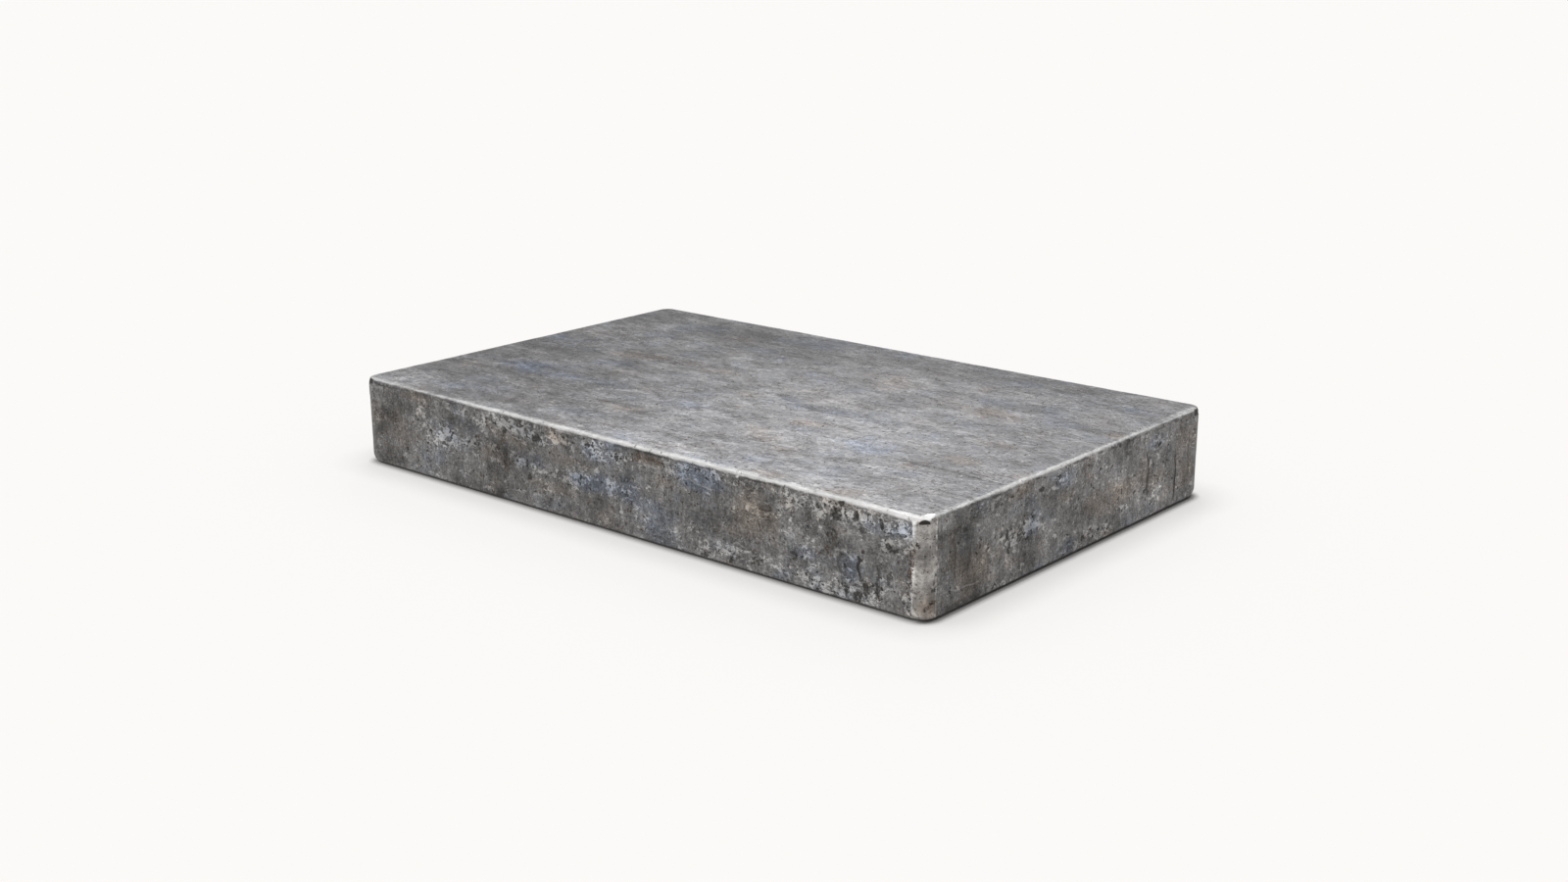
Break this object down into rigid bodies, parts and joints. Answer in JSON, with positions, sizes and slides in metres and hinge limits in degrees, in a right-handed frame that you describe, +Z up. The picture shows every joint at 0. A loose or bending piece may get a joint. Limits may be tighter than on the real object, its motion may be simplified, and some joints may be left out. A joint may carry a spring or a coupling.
{
  "type": "steel slab",
  "caption": "Short rectangular slab of scaled steel stock with rounded upright corners and worn, rounded edges, lying flat.",
  "frame": {"origin": "centre of the underside, at the level that the slab rests on", "axes": "+X along the length, +Y across the width, +Z up through the thickness"},
  "size_m": [1.6, 1, 0.2],
  "materials": {
    "scaled_steel": "satin mottled grey mill scale with flaked patches and faint rust on the sides, worn to bright metal along the top rim and the upright corners"
  },
  "bodies": {
    "root": {"steel_slab": "scaled_steel"}
  },
  "joints": []
}
